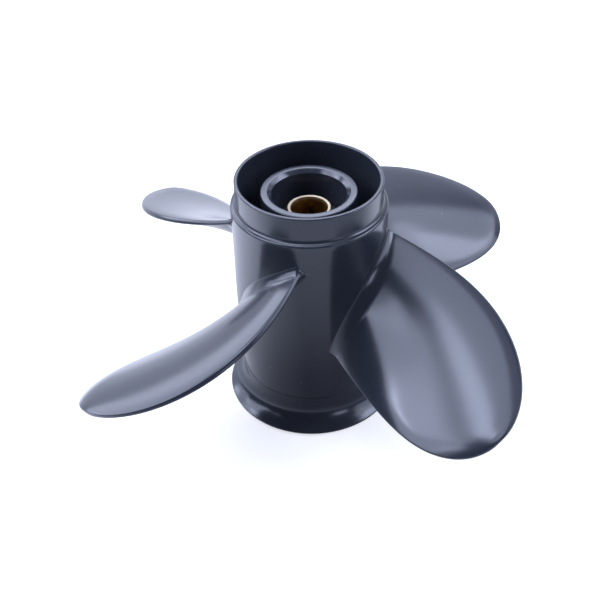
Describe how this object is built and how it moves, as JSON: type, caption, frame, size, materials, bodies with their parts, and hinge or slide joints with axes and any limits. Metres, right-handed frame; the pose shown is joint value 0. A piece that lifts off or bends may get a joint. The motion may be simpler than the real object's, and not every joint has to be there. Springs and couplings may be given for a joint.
{
  "type": "outboard propeller",
  "caption": "Right-handed outboard propeller with an open exhaust hub, a flared rear ring and a splined brass sleeve in a rubber bush.",
  "frame": {"origin": "on the shaft axis, in the plane of the rear rim that the propeller stands on", "axes": "+Z along the shaft axis towards the front (gearcase) end; +X through the tip of blade_1"},
  "size_m": [0.3048, 0.3048, 0.1473],
  "materials": {
    "enamel": "cast aluminium under a smooth, semi-gloss dark blue-grey enamel",
    "rubber": "matt black moulded rubber",
    "brass": "machined brass, bright on the front face and darker in the bore"
  },
  "bodies": {
    "root": {"hub_barrel": "enamel", "diffuser_ring": "enamel", "inner_hub": "enamel", "rib_1": "enamel", "rib_2": "enamel", "rib_3": "enamel", "rib_4": "enamel", "blade_1": "enamel", "blade_2": "enamel", "blade_3": "enamel", "blade_4": "enamel", "rubber_bush": "rubber", "spline_sleeve": "brass"}
  },
  "joints": []
}
